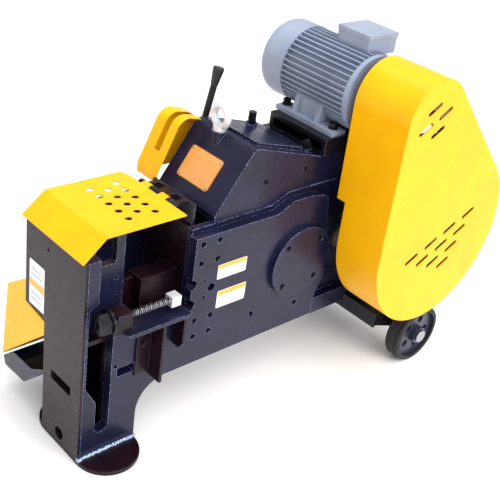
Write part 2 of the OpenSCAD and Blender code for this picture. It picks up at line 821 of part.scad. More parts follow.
module motor_housing() {
    bore = shell_r - 9;
    color(motor_grey) difference() {
        union() {
            y_plate(motor_y0 + 14, motor_y1) translate(motor) fin_ring();
            y_rod(motor, motor_r - 3, motor_y0, motor_y0 + 14, 96);
            y_rod(motor, 56, motor_y0 - 9, motor_y0);
            for (x = [-1, 1]) {
                foot_x = motor[0] + x * foot_pitch_x;
                bar([foot_x - 24, foot_x + 24], [foot_y - 106, foot_y + 98], [mount_z, mount_z + 12]);
                bar([foot_x - 8, foot_x], [foot_y - 39, foot_y + 39], [mount_z + 11, motor[1] - 38]);
            }
            for (y = [-1, 1]) y_plate(foot_y + y * 39 - 8, foot_y + y * 39 + 8) translate([motor[0], mount_z])
                polygon([[-99, 11], [99, 11], [84, motor_h - 30], [-84, motor_h - 30]]);
            bar([motor[0] - 15, motor[0] + 62], [-84, -6], [motor[1] + 50, box_z[0]]);
        }
        bar(box_x + 0.5 * [-1, 1], box_y + 0.5 * [-1, 1], [box_z[0], box_z[1]]);
        y_rod(motor, bore, motor_y0 + 14, motor_y1 + 1, 96);
        y_rod(motor, 15 + run_gap, motor_y0 - 10, motor_y0 + 15);
    }
}

module motor_fan_cowl() {
    r = motor_r + 1;
    color(motor_grey) translate([motor[0], motor_y1 + cowl_len, motor[1]]) rotate([90, 0, 0]) difference() {
        rotate_extrude($fn = 96) polygon(concat([[0, 0]], arc([r - 30, 30], 30, -90, 0, 8),
            [[r, cowl_len], [0, cowl_len]]));
        rotate_extrude($fn = 96) polygon(concat([[0, 3]], arc([r - 33, 33], 30, -90, 0, 8),
            [[r - 3, cowl_len - 6], [0, cowl_len - 6]]));
        translate([0, 0, cowl_len - 7]) cylinder(h = 8, r = 18, $fn = 48);
        for (ring = [20 : 12 : 56]) for (k = [0 : ring / 3]) rotate(k * 360 / (floor(ring / 3) + 1))
            translate([ring, 0, -1]) cylinder(h = 5, r = 3.5, $fn = 16);
    }
}

box_x = [motor[0] - 15, motor[0] + 92];
box_y = [-98, 8];
box_z = [motor[1] + 86, motor[1] + 138];
gland_y = -45;
gland_r = 7;

module terminal_box() {
    lid = 12;
    inset = 1.5;
    gland = [gland_y, box_z[0] + 24];
    color(motor_grey) difference() {
        union() {
            bar(box_x + inset * [1, -1], box_y + inset * [1, -1], [box_z[0], box_z[1] - lid]);
            bar(box_x, box_y, [box_z[1] - lid, box_z[1]]);
            x_rod(gland, 15, box_x[1] - 4, box_x[1] + 10, 6);
            x_rod(gland, 12, box_x[1] + 10, box_x[1] + 18);
        }
        bar(box_x + 8 * [1, -1], box_y + 8 * [1, -1], [box_z[0] + 4, box_z[1] - 6]);
        x_rod(gland, gland_r, box_x[1] - 9, box_x[1] + 19);
    }
}

module motor_stator() {
    r = shell_r - 9;
    color(brass) difference() {
        y_rod(motor, r - seat_gap, motor_y0 + 45, motor_y1 - 35, 96);
        y_rod(motor, 50, motor_y0 + 44, motor_y1 - 34);
    }
}

// ---- belt guard ----

guard_step = body_gap + 370;

module slot_hole(p, len, w, lean) {
    translate(p) rotate(lean) {
        translate([-len / 2 + w / 2, -w / 2]) square([len - w, w]);
        for (s = [-1, 1]) translate([s * (len - w) / 2, 0]) circle(r = w / 2, $fn = 24);
    }
}

// Cooling slots in the guard's face: rows that step up to the right
slot_pitch = 50;
slot_rise = -18;

module guard_slots() {
    for (k = [0, 1]) {
        slot_hole(guard_small + [-16 + k * 46, 32 - k * 17], 50, 12, 30);
        slot_hole(guard_small + [-34 + k * 50, -16 - k * 15], 50, 12, 28);
    }
    for (row = [0 : 3]) for (k = [0 : 3 - row])
        slot_hole(guard_big + [-111 + row * 70 + k * slot_pitch, -31 + row * 28 + k * slot_rise], 50, 12, 26);
}

module guard_outline(in) {
    belt_outline(guard_small, guard_r_small - in, guard_big, guard_r_big - in);
}

module belt_guard() {
    color(yellow) difference() {
        y_plate(guard_y0, guard_y1 + 28) guard_outline(0);
        y_plate(guard_y0 + sheet_t, guard_y1 + 29) guard_outline(sheet_t);
        y_plate(guard_y0 - 1, guard_y0 + sheet_t + 1) guard_slots();
        bar([guard_big[0] - guard_r_big - 10, guard_big[0] + guard_r_big + 10],
            [guard_y1, guard_y1 + 29], [0, guard_step]);
        bar([guard_big[0] + 100, guard_big[0] + guard_r_big + 10], [guard_y1, guard_y1 + 29],
            [0, motor[1] + 200]);
    }
}

module guard_back_plate() {
    t = 3;
    color(dark) {
        difference() {
            y_plate(guard_y1 - t, guard_y1) translate(guard_big)
                circle(r = guard_r_big - sheet_t - gap, $fn = 96);
            y_rod(drive, 60, guard_y1 - t - 1, guard_y1 + 1);
            y_plate(guard_y1 - t - 1, guard_y1 + 1)
                belt_outline(motor, pulley_r + 14, drive, 90);
        }
        for (p = [[drive[0] - 170, drive[1] + 30], [drive[0] + 50, drive[1] - 150], [drive[0] + 50, drive[1] + 60]])
            y_rod(p, 12, guard_y1, case_y0, 32);
    }
}

module v_belts() {
    color(dark) for (k = [0 : belts - 1]) {
        y = belt_y + (k - (belts - 1) / 2) * belt_pitch;
        y_plate(y - 5, y + 5) difference() {
            belt_outline(motor, pulley_r + 3, drive, flywheel_r + 3);
            belt_outline(motor, pulley_r - 6, drive, flywheel_r - 6);
        }
    }
}

// ---- rolling gear ----

hanger_y = [near_wheel_y + wheel_w + 10, far_wheel_y - 10];

module axle_beam() {
    x0 = axle[0] - 134;
    x1 = axle[0] - 34;
    color(dark) {
        bar([x0, x1], hanger_y, [body_gap - 8, body_gap]);
        bar([x0, x0 + 8], hanger_y, [body_gap - 45, body_gap - 8]);
        for (y = [hanger_y[0], hanger_y[1] - 10]) difference() {
            y_plate(y, y + 10) union() {
                polygon([[x0 + 8, body_gap - 8], [x1, body_gap - 8], [x1, body_gap], [axle[0] + 26, body_gap],
                    [axle[0] + 26, axle[1]], [axle[0] - 26, axle[1]], [x0 + 8, body_gap - 40]]);
                translate(axle) circle(r = 26);
            }
            y_rod(axle, axle_r + seat_gap, y - 1, y + 11);
        }
    }
}

module wheel_axle() {
    color(steel) {
        y_rod(axle, axle_r, near_wheel_y - 2, far_wheel_y + wheel_w + 2);
        y_rod(axle, 19, near_wheel_y - 8, near_wheel_y - 2);
        y_rod(axle, 19, far_wheel_y + wheel_w + 2, far_wheel_y + wheel_w + 8);
    }
}

module road_wheel(y0) {
    y1 = y0 + wheel_w;
    color(dark) difference() {
        union() {
            difference() {
                y_rod(axle, wheel_r, y0 + 6, y1 - 6, 96);
                y_rod(axle, wheel_r - 14, y0, y0 + 18, 96);
                y_rod(axle, wheel_r - 14, y1 - 18, y1, 96);
            }
            y_rod(axle, axle_r + 13, y0, y1);
        }
        y_rod(axle, axle_r + run_gap, y0 - 1, y1 + 1);
        for (k = [0 : 4]) y_rod(axle + 44 * [cos(k * 72), sin(k * 72)], 11, y0, y1, 32);
    }
}

module near_wheel() {
    road_wheel(near_wheel_y);
}

module far_wheel() {
    road_wheel(far_wheel_y);
}

// ---- top cover and its hinge ----

hinge_tabs = [[-52, -26], [12, 38]];
hinge_pin_r = 5;
knuckle_r = 11;

module top_cover() {
    lip_x = -8;
    y0 = near_y - 2;
    lip_bend = [cover_x0, cover_z];
    lip_foot = [lip_x, head_z + 3];
    color(yellow) difference() {
        union() {
            translate([0, 0, cover_z]) linear_extrude(sheet_t) difference() {
                polygon([[cover_x0, y0], [cover_x1, y0], [cover_x1, far_y - 28], [cover_x1 - 8, far_y + 2],
                    [cover_x0, far_y + 2]]);
                for (col = [0 : 2]) for (k = [0 : (col == 1 ? 3 : 4)])
                    translate([cover_x0 + 86 + col * 35, -87 + (col == 1 ? 18 : 0) + k * 37]) circle(r = vent_r);
            }
            y_plate(y0, far_y + 2) polygon([lip_bend, lip_bend + [0, sheet_t], lip_foot + [-2, sheet_t],
                lip_foot + [-2, 0], lip_foot + [1.5, 0]]);
            for (t = hinge_tabs) {
                bar([cover_x1 - 1, hinge[0]], t, [cover_z, cover_z + sheet_t]);
                y_rod(hinge, knuckle_r, t[0], t[1], 32);
            }
        }
        y_rod(hinge, hinge_pin_r + run_gap, near_y, far_y, 32);
    }
}

// Hinge plate on the gear case, with the pin that the cover turns on
module cover_hinge() {
    ears = [[-66, -52 - gap], [-26 + gap, 12 - gap], [38 + gap, 52]];
    color(dark) {
        y_rod(hinge, hinge_pin_r, ears[0][0], ears[2][1], 32);
        for (e = ears) difference() {
            union() {
                y_rod(hinge, knuckle_r, e[0], e[1], 32);
                bar([hinge[0], case_x0 + 8], e, [hinge[1] - 11, hinge[1] - 2]);
            }
            y_rod(hinge, hinge_pin_r - seat_gap, e[0] - 1, e[1] + 1, 32);
        }
        bar([case_x0 + 8, case_x0 + wall_t], [in_y0, in_y1], [top_z + 10, hinge[1] - 2]);
    }
}

// ---- stop screw ----

module stop_screw() {
    turns = floor((screw_x1 - pad_w - block_x[1] - 45) / screw_pitch);
    color(steel) difference() {
        union() {
            x_rod([screw_y, screw_z], screw_r - 1, screw_x0, screw_x1 - pad_w - 1, 32);
            x_rod([screw_y, screw_z], screw_r / 2, screw_x0, screw_x1 - pad_w / 2 - 1, 32);
            x_rod([screw_y, screw_z], screw_r, screw_x0 + 20, block_x[1] + 40, 32);
            for (k = [0 : turns - 1]) translate([block_x[1] + 41 + k * screw_pitch, screw_y, screw_z])
                rotate([0, 90, 0]) cylinder(h = screw_pitch / 2, r = screw_r, $fn = 32);
            x_rod([screw_y, screw_z], 23 / cos(30), screw_x0 + 1, screw_x0 + 27, 6);
            x_rod([screw_y, screw_z], 30, screw_x0 + 27, screw_x0 + 35);
        }
        x_rod([screw_y, screw_z], 6, screw_x0 - 1, screw_x0 + 8, 6);
    }
}

module screw_pad() {
    color(white) difference() {
        bar([screw_x1 - pad_w, screw_x1], [screw_y - pad_w / 2, screw_y + pad_w / 2],
            [screw_z - pad_w / 2, screw_z + pad_w / 2]);
        x_rod([screw_y, screw_z], screw_r / 2 + run_gap, screw_x1 - pad_w - 1, screw_x1 - pad_w / 2, 32);
    }
}

// ---- crank, rod and ram ----

key_h = 5;
key_w = 12;

module crankshaft() {
    throw = crank + [crank_throw, 0];
    color(steel) {
        y_rod(crank, crank_shaft_r, near_y + 1, far_y - 1);
        y_rod(throw, eccentric_r, rod_y0 - 1, rod_y1 + 1, 96);
        for (s = [-1, 1]) bar([crank[0] - key_w / 2, crank[0] + key_w / 2], [collar_y0 + 1, clutch_y0 - 1],
            s > 0 ? [crank[1], crank[1] + crank_shaft_r + key_h] : [crank[1] - crank_shaft_r - key_h, crank[1]]);
    }
}

module connecting_rod() {
    throw = crank + [crank_throw, 0];
    nose = [nose_x, crank[1]];
    arm_y = [rod_y - rod_arm_w / 2, rod_y + rod_arm_w / 2];
    color(steel) difference() {
        union() {
            y_rod(throw, rod_r, rod_y0, rod_y1, 96);
            bar([nose[0], throw[0]], arm_y, [nose[1] - nose_r, nose[1] + nose_r]);
            y_rod(nose, nose_r, arm_y[0], arm_y[1]);
        }
        y_rod(throw, eccentric_r + run_gap, rod_y0 - 1, rod_y1 + 1, 96);
    }
}

module ram() {
    pocket_y = [rod_y - rod_arm_w / 2 - gap, rod_y + rod_arm_w / 2 + gap];
    color(steel) difference() {
        bar([ram_x0, ram_x1], [rod_y - ram_w / 2, rod_y + ram_w / 2],
            [crank[1] - ram_down, crank[1] + ram_up]);
        bar([nose_x - nose_r - nose_slack, ram_x1 + 1], pocket_y,
            [crank[1] - nose_r - crank_throw - 1, crank[1] + nose_r + 1]);
    }
}

module moving_blade() {
    y0 = shear_y - blade_t;
    color(steel) difference() {
        bar([blade_front, ram_x0], [y0, shear_y], blade_z);
        for (z = blade_bolt_z) x_rod([y0 + blade_t / 2, z], 7, blade_front - 1, blade_front + 9, 6);
    }
}

// ---- clutch ----

dog_r = 6;
dog_circle = 47;
collar_r = 60;
groove_r = 46;
groove = [collar_y0 + 5, collar_y0 + 15];

// Slots that the collar's dogs drop into, longer than the dogs so that they find them while turning
module dog_slots() {
    play = 7;
    w = dog_r + 1.5;
    first = dog_circle * [cos(play), -sin(play)];
    last = dog_circle * [cos(play), sin(play)];
    for (k = [0 : 3]) rotate(45 + k * 90)
        polygon(concat(arc([0, 0], dog_circle + w, -play, play, 5), arc(last, w, play + 25, play + 155, 5),
            arc([0, 0], dog_circle - w, play, -play, 5), arc(first, w, 205 - play, 335 - play, 5)));
}

module clutch_gear() {
    color(steel) difference() {
        gear(crank, clutch_n, lay_angle, clutch_y0, clutch_y1);
        y_rod(crank, crank_shaft_r + run_gap, clutch_y0 - 1, clutch_y1 + 1);
        y_plate(clutch_y0 - 1, clutch_y0 + collar_travel + 2) translate(crank) dog_slots();
        for (k = [0 : 5]) y_rod(crank + 98 * [cos(k * 60), sin(k * 60)], 24, clutch_y0 - 1, clutch_y1 + 1);
    }
}

module clutch_collar() {
    color(steel) difference() {
        union() {
            y_rod(crank, collar_r, collar_y0, groove[0]);
            y_rod(crank, groove_r, groove[0], groove[1]);
            y_rod(crank, collar_r, groove[1], collar_y1);
            for (k = [0 : 3]) y_rod(crank + dog_circle * [cos(45 + k * 90), sin(45 + k * 90)], dog_r,
                collar_y1 - 1, collar_y1 + dog_len, 32);
        }
        y_rod(crank, crank_shaft_r + run_gap, collar_y0 - 1, collar_y1 + 1);
        bar([crank[0] - key_w / 2 - gap, crank[0] + key_w / 2 + gap], [collar_y0 - 1, collar_y1 + 1],
            [crank[1] - crank_shaft_r - key_h - gap, crank[1] + crank_shaft_r + key_h + gap]);
    }
}

// Fork that slides on a rail and rides in the collar's groove
module clutch_fork() {
    y0 = groove[0] + 1;
    y1 = groove[1] - 1;
    reach = norm(rail - crank);
    heading = atan2(rail[1] - crank[1], rail[0] - crank[0]);
    color(steel) difference() {
        union() {
            y_plate(y0, y1) translate(crank) rotate(heading) {
                intersection() {
                    circle(r = collar_r + 12);
                    translate([-4, -100]) square([110, 200]);
                }
                translate([collar_r, -14]) square([reach - collar_r, 28]);
            }
            y_rod(rail, 20, y0 - 6, y1 + 4);
            bar([lever_pivot[0] + 18, rail[0]], [y0, y1], [rail[1] + 4, rail[1] + 18]);
        }
        y_rod(rail, rail_r + run_gap, y0 - 10, y1 + 10);
        y_rod(crank, groove_r + 1, y0 - 1, y1 + 1);
    }
}

lever_r = 8.5;
lever_lean = 12;
lever_len = 252;

module clutch_lever() {
    mid = (lever_y0 + lever_y1) / 2;
    color(dark) {
        y_rod(lever_pivot, 12, in_y0 + 30, far_y + 61);
        difference() {
            y_rod(lever_pivot, 22, lever_y0, lever_y1, 48);
            y_rod(lever_pivot, 12 - seat_gap, lever_y0 - 1, lever_y1 + 1);
        }
        y_rod(lever_pivot, 17, groove[0] - 4, groove[1] + 4, 48);
        translate([lever_pivot[0], mid, lever_pivot[1]]) rotate([0, lever_lean, 0]) translate([0, 0, 18])
            cylinder(h = lever_len - 58, r = lever_r, $fn = 32);
    }
}

module lever_grip() {
    mid = (lever_y0 + lever_y1) / 2;
    color(dark) translate([lever_pivot[0], mid, lever_pivot[1]]) rotate([0, lever_lean, 0])
        translate([0, 0, lever_len - 40]) rotate_extrude($fn = 48)
            polygon(concat([[0, 0], [9, 0], [14, 38]], arc([10, 42], 4, 0, 90, 4), [[0, 46]]));
}

// ---- gear shafts ----

module layshaft() {
    color(steel) {
        y_rod(lay, lay_r, case_y0 + 1, case_y1 - 1);
        difference() {
            gear(lay, wheel1_n, drive_angle + 180 / wheel1_n, stage1_y0, stage1_y1);
            y_rod(lay, lay_r - seat_gap, stage1_y0 - 1, stage1_y1 + 1);
            for (k = [0 : 4]) y_rod(lay + 85 * [cos(k * 72), sin(k * 72)], 28, stage1_y0 - 1, stage1_y1 + 1);
        }
        gear(lay, pinion2_n, lay_angle + 180 + 180 / pinion2_n, clutch_y0 - 2, clutch_y1 + 2);
    }
}

drive_y0 = belt_y - flywheel_w / 2 - 14;

module drive_shaft() {
    color(steel) {
        y_rod(drive, lay_r, drive_y0, case_y1 - 1);
        gear(drive, pinion1_n, drive_angle + 180, stage1_y0 - 1, stage1_y1 + 1);
        y_rod(drive, 30, drive_y0 - 14, drive_y0 - 1, 6);
    }
}

// V-grooved rim profile, from its inner radius to the groove's floor
module grooved_rim(p, r_in, r_out, w) {
    difference() {
        y_rod(p, r_out, belt_y - w / 2, belt_y + w / 2, 96);
        y_rod(p, r_in, belt_y - w / 2 - 1, belt_y + w / 2 + 1, 96);
        for (k = [0 : belts - 1]) {
            y = belt_y + (k - (belts - 1) / 2) * belt_pitch;
            difference() {
                y_rod(p, r_out + 1, y - 6, y + 6, 96);
                y_rod(p, r_out - 7, y - 7, y + 7, 96);
            }
        }
    }
}

module flywheel() {
    color(dark) {
        grooved_rim(drive, flywheel_r - 32, flywheel_r, flywheel_w);
        difference() {
            y_rod(drive, flywheel_r - 32, belt_y - 11, belt_y + 11, 96);
            y_rod(drive, 40, belt_y - 12, belt_y + 12);
            for (k = [0 : 4]) y_rod(drive + 118 * [cos(k * 72), sin(k * 72)], 42, belt_y - 12, belt_y + 12);
        }
        difference() {
            y_rod(drive, 40, belt_y - flywheel_w / 2, belt_y + flywheel_w / 2);
            y_rod(drive, lay_r + seat_gap, belt_y - flywheel_w / 2 - 1, belt_y + flywheel_w / 2 + 1);
        }
    }
}

module motor_rotor() {
    color(steel) {
        y_rod(motor, 15, belt_y - flywheel_w / 2 + 8, motor_y1 + 30);
        y_rod(motor, 50 - gap, motor_y0 + 45, motor_y1 - 35);
        y_rod(motor, 28, motor_y1 + 30, motor_y1 + 58);
        for (k = [0 : 6]) translate([motor[0], 0, motor[1]]) rotate([0, k * 360 / 7, 0])
            bar([26, 80], [motor_y1 + 30, motor_y1 + 56], [-2, 2]);
    }
}

module motor_pulley() {
    w = belts * belt_pitch + 4;
    color(dark) difference() {
        grooved_rim(motor, 15 + seat_gap, pulley_r, w);
        y_rod(motor, 15 + seat_gap, belt_y - w, belt_y + w);
    }
}

front_plate();
near_side_plate();
far_side_plate();
leg_far_cheek();
foot_plate();
foot_weld();
case_near_wall();
case_far_wall();
case_front_wall();
case_floor();
ram_guides();
fork_rail();
case_cover();
lifting_eye();
name_plate();
blank_labels();
shaft_bushes();
bearing_covers();
case_screws();
lever_guard();
blade_seat();
fixed_blade();
blade_bolts();
bar_rest();
side_shelf();
shelf_bracket();
screw_block();
offcut_hood();
offcut_tray();
motor_mount();
mount_bolts();
motor_housing();
motor_fan_cowl();
terminal_box();
motor_stator();
belt_guard();
guard_back_plate();
v_belts();
axle_beam();
wheel_axle();
cover_hinge();
top_cover();
stop_screw();
screw_pad();
crankshaft();
connecting_rod();
ram();
moving_blade();
clutch_gear();
clutch_collar();
clutch_fork();
clutch_lever();
lever_grip();
layshaft();
drive_shaft();
flywheel();
motor_rotor();
motor_pulley();
near_wheel();
far_wheel();
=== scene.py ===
# %% [markdown]
# # A rebar cutter, dressed for the camera
# The machine is already modelled as an exact mechanical assembly. This script loads that assembly as a
# fixed frame and gives it its looks: rounded edges, paint, bare steel, rubber and small fittings.
# Loading it first means that every later piece can read its place from the real parts.

import json
import math

import bmesh
import bpy
from mathutils import Matrix, Vector


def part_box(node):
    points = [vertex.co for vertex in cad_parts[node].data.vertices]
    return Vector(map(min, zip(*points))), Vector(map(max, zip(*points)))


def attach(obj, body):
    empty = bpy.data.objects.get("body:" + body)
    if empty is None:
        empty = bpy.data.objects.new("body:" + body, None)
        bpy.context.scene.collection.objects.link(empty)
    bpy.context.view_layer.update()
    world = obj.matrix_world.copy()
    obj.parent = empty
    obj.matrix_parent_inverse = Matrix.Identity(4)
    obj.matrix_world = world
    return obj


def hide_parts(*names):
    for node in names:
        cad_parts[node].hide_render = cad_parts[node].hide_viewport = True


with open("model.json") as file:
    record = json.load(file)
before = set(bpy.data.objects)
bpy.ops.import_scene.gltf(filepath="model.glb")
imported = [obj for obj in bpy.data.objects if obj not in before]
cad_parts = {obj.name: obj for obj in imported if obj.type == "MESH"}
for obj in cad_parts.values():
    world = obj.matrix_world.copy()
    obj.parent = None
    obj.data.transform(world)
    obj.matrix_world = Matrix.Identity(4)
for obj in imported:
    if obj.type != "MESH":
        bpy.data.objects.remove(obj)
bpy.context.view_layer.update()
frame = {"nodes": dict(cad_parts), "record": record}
nodes = frame["nodes"]
body_of = {name: body for body, names in frame["record"]["behaviour"]["bodies"].items() for name in names}
MM = 0.001

# %% [markdown]
# ## Camera
# The camera stands at the near front corner, above the machine, and looks down at about thirty degrees.
# It is turned a little about its own axis, so upright edges lean. Building its rotation from a heading,
# a pitch and a roll keeps the three angles readable.

# %% Camera
HEADING, PITCH, ROLL = (math.radians(a) for a in (43.85, 30.01, 8.81))
ahead = Vector((math.cos(HEADING) * math.cos(PITCH), math.sin(HEADING) * math.cos(PITCH), -math.sin(PITCH)))
level = Vector((math.sin(HEADING), -math.cos(HEADING), 0.0))
over = level.cross(ahead)
right = math.cos(ROLL) * level + math.sin(ROLL) * over
up = -math.sin(ROLL) * level + math.cos(ROLL) * over

STAND = (-0.906, -1.452, 1.548)
camera = bpy.data.objects.new("camera", bpy.data.cameras.new("camera"))
camera.data.sensor_width = 36.0
camera.data.lens = 65.82
camera.matrix_world = Matrix.Translation(STAND) @ Matrix((right, up, -ahead)).transposed().to_4x4()
print("camera at", STAND, "with a lens of", camera.data.lens, "mm")
bpy.context.collection.objects.link(camera)
bpy.context.scene.camera = camera

# %% [markdown]
# ## Floor and light
# The machine stands on a plain white floor in a bright, soft studio. A very wide sun from above and the near side
# lights the side plates, the belt guard and the floor, and leaves the narrow front faces in shade. Three soft lamps
# give the paint something to reflect, and an even sky fills the rest, so that dark paint still shows its shape.

# %% Floor and light
def hex_linear(code):
    """A hex colour as the linear red, green, blue and alpha that a shader expects."""
    parts = [int(code[i:i + 2], 16) / 255 for i in (1, 3, 5)]
    return [p / 12.92 if p <= 0.04045 else ((p + 0.055) / 1.055) ** 2.4 for p in parts] + [1.0]


def add(tree, kind, inputs=None, **settings):
    """Adds a node to a tree, with its settings, and fills its inputs with values or with other nodes' outputs."""
    made = tree.nodes.new(kind)
    for key, value in settings.items():
        setattr(made, key, value)
    for key, value in (inputs or {}).items():
        if isinstance(value, bpy.types.NodeSocket):
            tree.links.new(value, made.inputs[key])
        else:
            made.inputs[key].default_value = value
    return made


def lamp(name, place, target, size, power, colour="#ffffff"):
    data = bpy.data.lights.new(name, "AREA")
    data.shape = "RECTANGLE"
    data.size, data.size_y = size
    data.energy = power
    data.color = hex_linear(colour)[:3]
    lamp_object = bpy.data.objects.new(name, data)
    lamp_object.location = place
    lamp_object.rotation_euler = (Vector(target) - Vector(place)).to_track_quat("-Z", "Y").to_euler()
    bpy.context.collection.objects.link(lamp_object)


MIDDLE = (0.5, 0.0, 0.4)
lamp("key", (1.3, -3.2, 1.6), MIDDLE, (1.6, 1.2), 34)
lamp("top", (0.8, 0.2, 3.4), MIDDLE, (1.8, 1.8), 45)
lamp("fill", (-3.0, 0.2, 1.0), MIDDLE, (0.5, 1.6), 7, "#ffcfae")

daylight = bpy.data.objects.new("daylight", bpy.data.lights.new("daylight", "SUN"))
daylight.data.energy = 1.9
daylight.data.angle = math.radians(50)
daylight.rotation_euler = Vector((0.1, 0.75, -1.0)).to_track_quat("-Z", "Y").to_euler()
bpy.context.collection.objects.link(daylight)

world = bpy.data.worlds.new("studio")
bpy.context.scene.world = world
world.use_nodes = True
sky = world.node_tree.nodes["Background"].inputs
sky["Color"].default_value = hex_linear("#ffffff")
sky["Strength"].default_value = 0.72
bpy.context.scene.view_settings.view_transform = "Standard"

REACH = 60.0
corners = [(x * REACH, y * REACH, 0) for x, y in ((-1, -1), (1, -1), (1, 1), (-1, 1))]
floor_mesh = bpy.data.meshes.new("floor")
floor_mesh.from_pydata(corners, [], [(0, 1, 2, 3)])
floor = bpy.data.objects.new("floor", floor_mesh)
bpy.context.collection.objects.link(floor)
floor_paper = bpy.data.materials.new("white_paper_backdrop")
floor_paper.use_nodes = True
paper = floor_paper.node_tree.nodes["Principled BSDF"].inputs
paper["Base Color"].default_value = hex_linear("#ffffff")
paper["Roughness"].default_value = 0.9
floor_mesh.materials.append(floor_paper)

# %% [markdown]
# ## Finishes
# Most of what shows is paint over cut steel plate. Sprayed paint has a fine ripple called orange peel, gathers
# a little dust, and wears thin on edges, where the metal shows brighter; that bright edge colour is also a painted
# highlight. One function makes such a coat from its real sizes. Noise on object coordinates stays fixed to the piece
# when it moves.

# %% Coat of paint
def material(name):
    made = bpy.data.materials.new(name)
    made.use_nodes = True
    return made, made.node_tree, made.node_tree.nodes["Principled BSDF"]


def noise(tree, size_mm, detail=3.0, stretch=(1, 1, 1)):
    """Noise whose lumps are about size_mm across, fixed to the piece."""
    where = add(tree, "ShaderNodeTexCoord").outputs["Object"]
    placed = add(tree, "ShaderNodeMapping", {"Vector": where, "Scale": stretch})
    return add(tree, "ShaderNodeTexNoise", {"Vector": placed.outputs["Vector"], "Scale": 1000 / size_mm,
                                            "Detail": detail}).outputs["Fac"]


def spread(tree, value, low, high, to_low, to_high):
    """Maps a value's range on to another."""
    return add(tree, "ShaderNodeMapRange", {"Value": value, "From Min": low, "From Max": high,
                                            "To Min": to_low, "To Max": to_high}).outputs["Result"]


def mixed(tree, amount, first, second):
    mix = add(tree, "ShaderNodeMix", {0: amount}, data_type="RGBA")
    for index, colour in ((6, first), (7, second)):
        if isinstance(colour, bpy.types.NodeSocket):
            tree.links.new(colour, mix.inputs[index])
        else:
            mix.inputs[index].default_value = hex_linear(colour)
    return mix.outputs[2]


# This mask places both the edge wear and a painted highlight along sharp edges.
def worn_and_highlit_edges(tree, radius_mm):
    """One where two faces meet at a sharp edge, nought on flat ground."""
    soft = add(tree, "ShaderNodeBevel", {"Radius": radius_mm * MM}, samples=4).outputs["Normal"]
    flat = add(tree, "ShaderNodeNewGeometry").outputs["Normal"]
    agree = add(tree, "ShaderNodeVectorMath", {0: soft, 1: flat}, operation="DOT_PRODUCT").outputs["Value"]
    return spread(tree, agree, 0.99, 0.80, 0.0, 1.0)


BLOTCH_MM, GRIT_MM, SMEAR_MM = 90, 7, 25
# How near a sharp edge the paint counts as worn and carries a painted highlight.
WEAR_AND_HIGHLIGHT_MM = 2.6


def paint(name, colour, shade, rough, peel_mm=1.4, peel=0.06, coat=0.0, edge=None, wear_and_highlight=0.5, gloss=0.5, soft_mm=0):
    """Sprayed enamel: its colour drifts a little, its gloss is uneven, and its edges turn towards edge, as wear and
    as painted highlight.
    """
    made, tree, shader = material(name)
    drift = spread(tree, noise(tree, BLOTCH_MM), 0.35, 0.65, 0.0, 1.0)
    base = mixed(tree, drift, colour, shade)
    if edge:
        grit = spread(tree, noise(tree, GRIT_MM), 0.40, 0.62, 0.0, 1.0)
        edge_wear_and_highlight = worn_and_highlit_edges(tree, WEAR_AND_HIGHLIGHT_MM)
        bare_and_highlit = add(tree, "ShaderNodeMath", {0: edge_wear_and_highlight, 1: grit}, operation="MULTIPLY").outputs["Value"]
        bare_and_highlit = add(tree, "ShaderNodeMath", {0: bare_and_highlit, 1: wear_and_highlight}, operation="MULTIPLY").outputs["Value"]
        # The edge colour is mixed in along sharp edges: rubbed paint and a painted highlight together.
        base = mixed(tree, bare_and_highlit, base, edge)
    tree.links.new(base, shader.inputs["Base Color"])
    uneven = spread(tree, noise(tree, SMEAR_MM), 0.3, 0.7, rough - 0.06, rough + 0.08)
    tree.links.new(uneven, shader.inputs["Roughness"])
    ripple = add(tree, "ShaderNodeBump", {"Strength": peel, "Distance": 0.2 * MM,
                                          "Height": noise(tree, peel_mm, 2.0)})
    if soft_mm:
        soft = add(tree, "ShaderNodeBevel", {"Radius": soft_mm * MM}, samples=6)
        tree.links.new(soft.outputs["Normal"], ripple.inputs["Normal"])
    tree.links.new(ripple.outputs["Normal"], shader.inputs["Normal"])
    shader.inputs["Specular IOR Level"].default_value = gloss
    shader.inputs["Coat Weight"].default_value = coat
    shader.inputs["Coat Roughness"].default_value = 0.12
    return made


# %% [markdown]
# Bare metal comes in several states here: turned shafts, blackened screws, bright zinc, bronze and weld metal.
# They differ in base colour, in roughness and in the direction of their fine scratches.

# %% Metals
def metal(name, colour, shade, rough, scratch=(1, 1, 1), grain_mm=0.8, relief=0.08, metallic=1.0):
    """Bare or blackened metal. Scratch squeezes the grain along an axis, so that fine lines run across it."""
    made, tree, shader = material(name)
    grain = noise(tree, grain_mm, 4.0, scratch)
    tree.links.new(mixed(tree, spread(tree, grain, 0.3, 0.7, 0.0, 1.0), colour, shade), shader.inputs["Base Color"])
    tree.links.new(spread(tree, noise(tree, 18), 0.3, 0.7, rough - 0.07, rough + 0.1), shader.inputs["Roughness"])
    relief_node = add(tree, "ShaderNodeBump", {"Strength": relief, "Distance": 0.1 * MM, "Height": grain})
    tree.links.new(relief_node.outputs["Normal"], shader.inputs["Normal"])
    shader.inputs["Metallic"].default_value = metallic
    return made


# %% [markdown]
# Rubber, moulded plastic and printed film are dull or softly glossy and have no metal in them. A small noise in
# colour and height is enough to keep them from looking like a flat fill.

# %% Rubber, plastic and film
def moulded(name, colour, shade, rough, grain_mm=0.6, relief=0.15, coat=0.0):
    made, tree, shader = material(name)
    tree.links.new(mixed(tree, spread(tree, noise(tree, 30), 0.3, 0.7, 0.0, 1.0), colour, shade),
                   shader.inputs["Base Color"])
    tree.links.new(spread(tree, noise(tree, 12), 0.3, 0.7, rough - 0.05, rough + 0.07), shader.inputs["Roughness"])
    pebble = add(tree, "ShaderNodeBump", {"Strength": relief, "Distance": 0.15 * MM,
                                          "Height": noise(tree, grain_mm, 2.0)})
    tree.links.new(pebble.outputs["Normal"], shader.inputs["Normal"])
    shader.inputs["Coat Weight"].default_value = coat
    return made


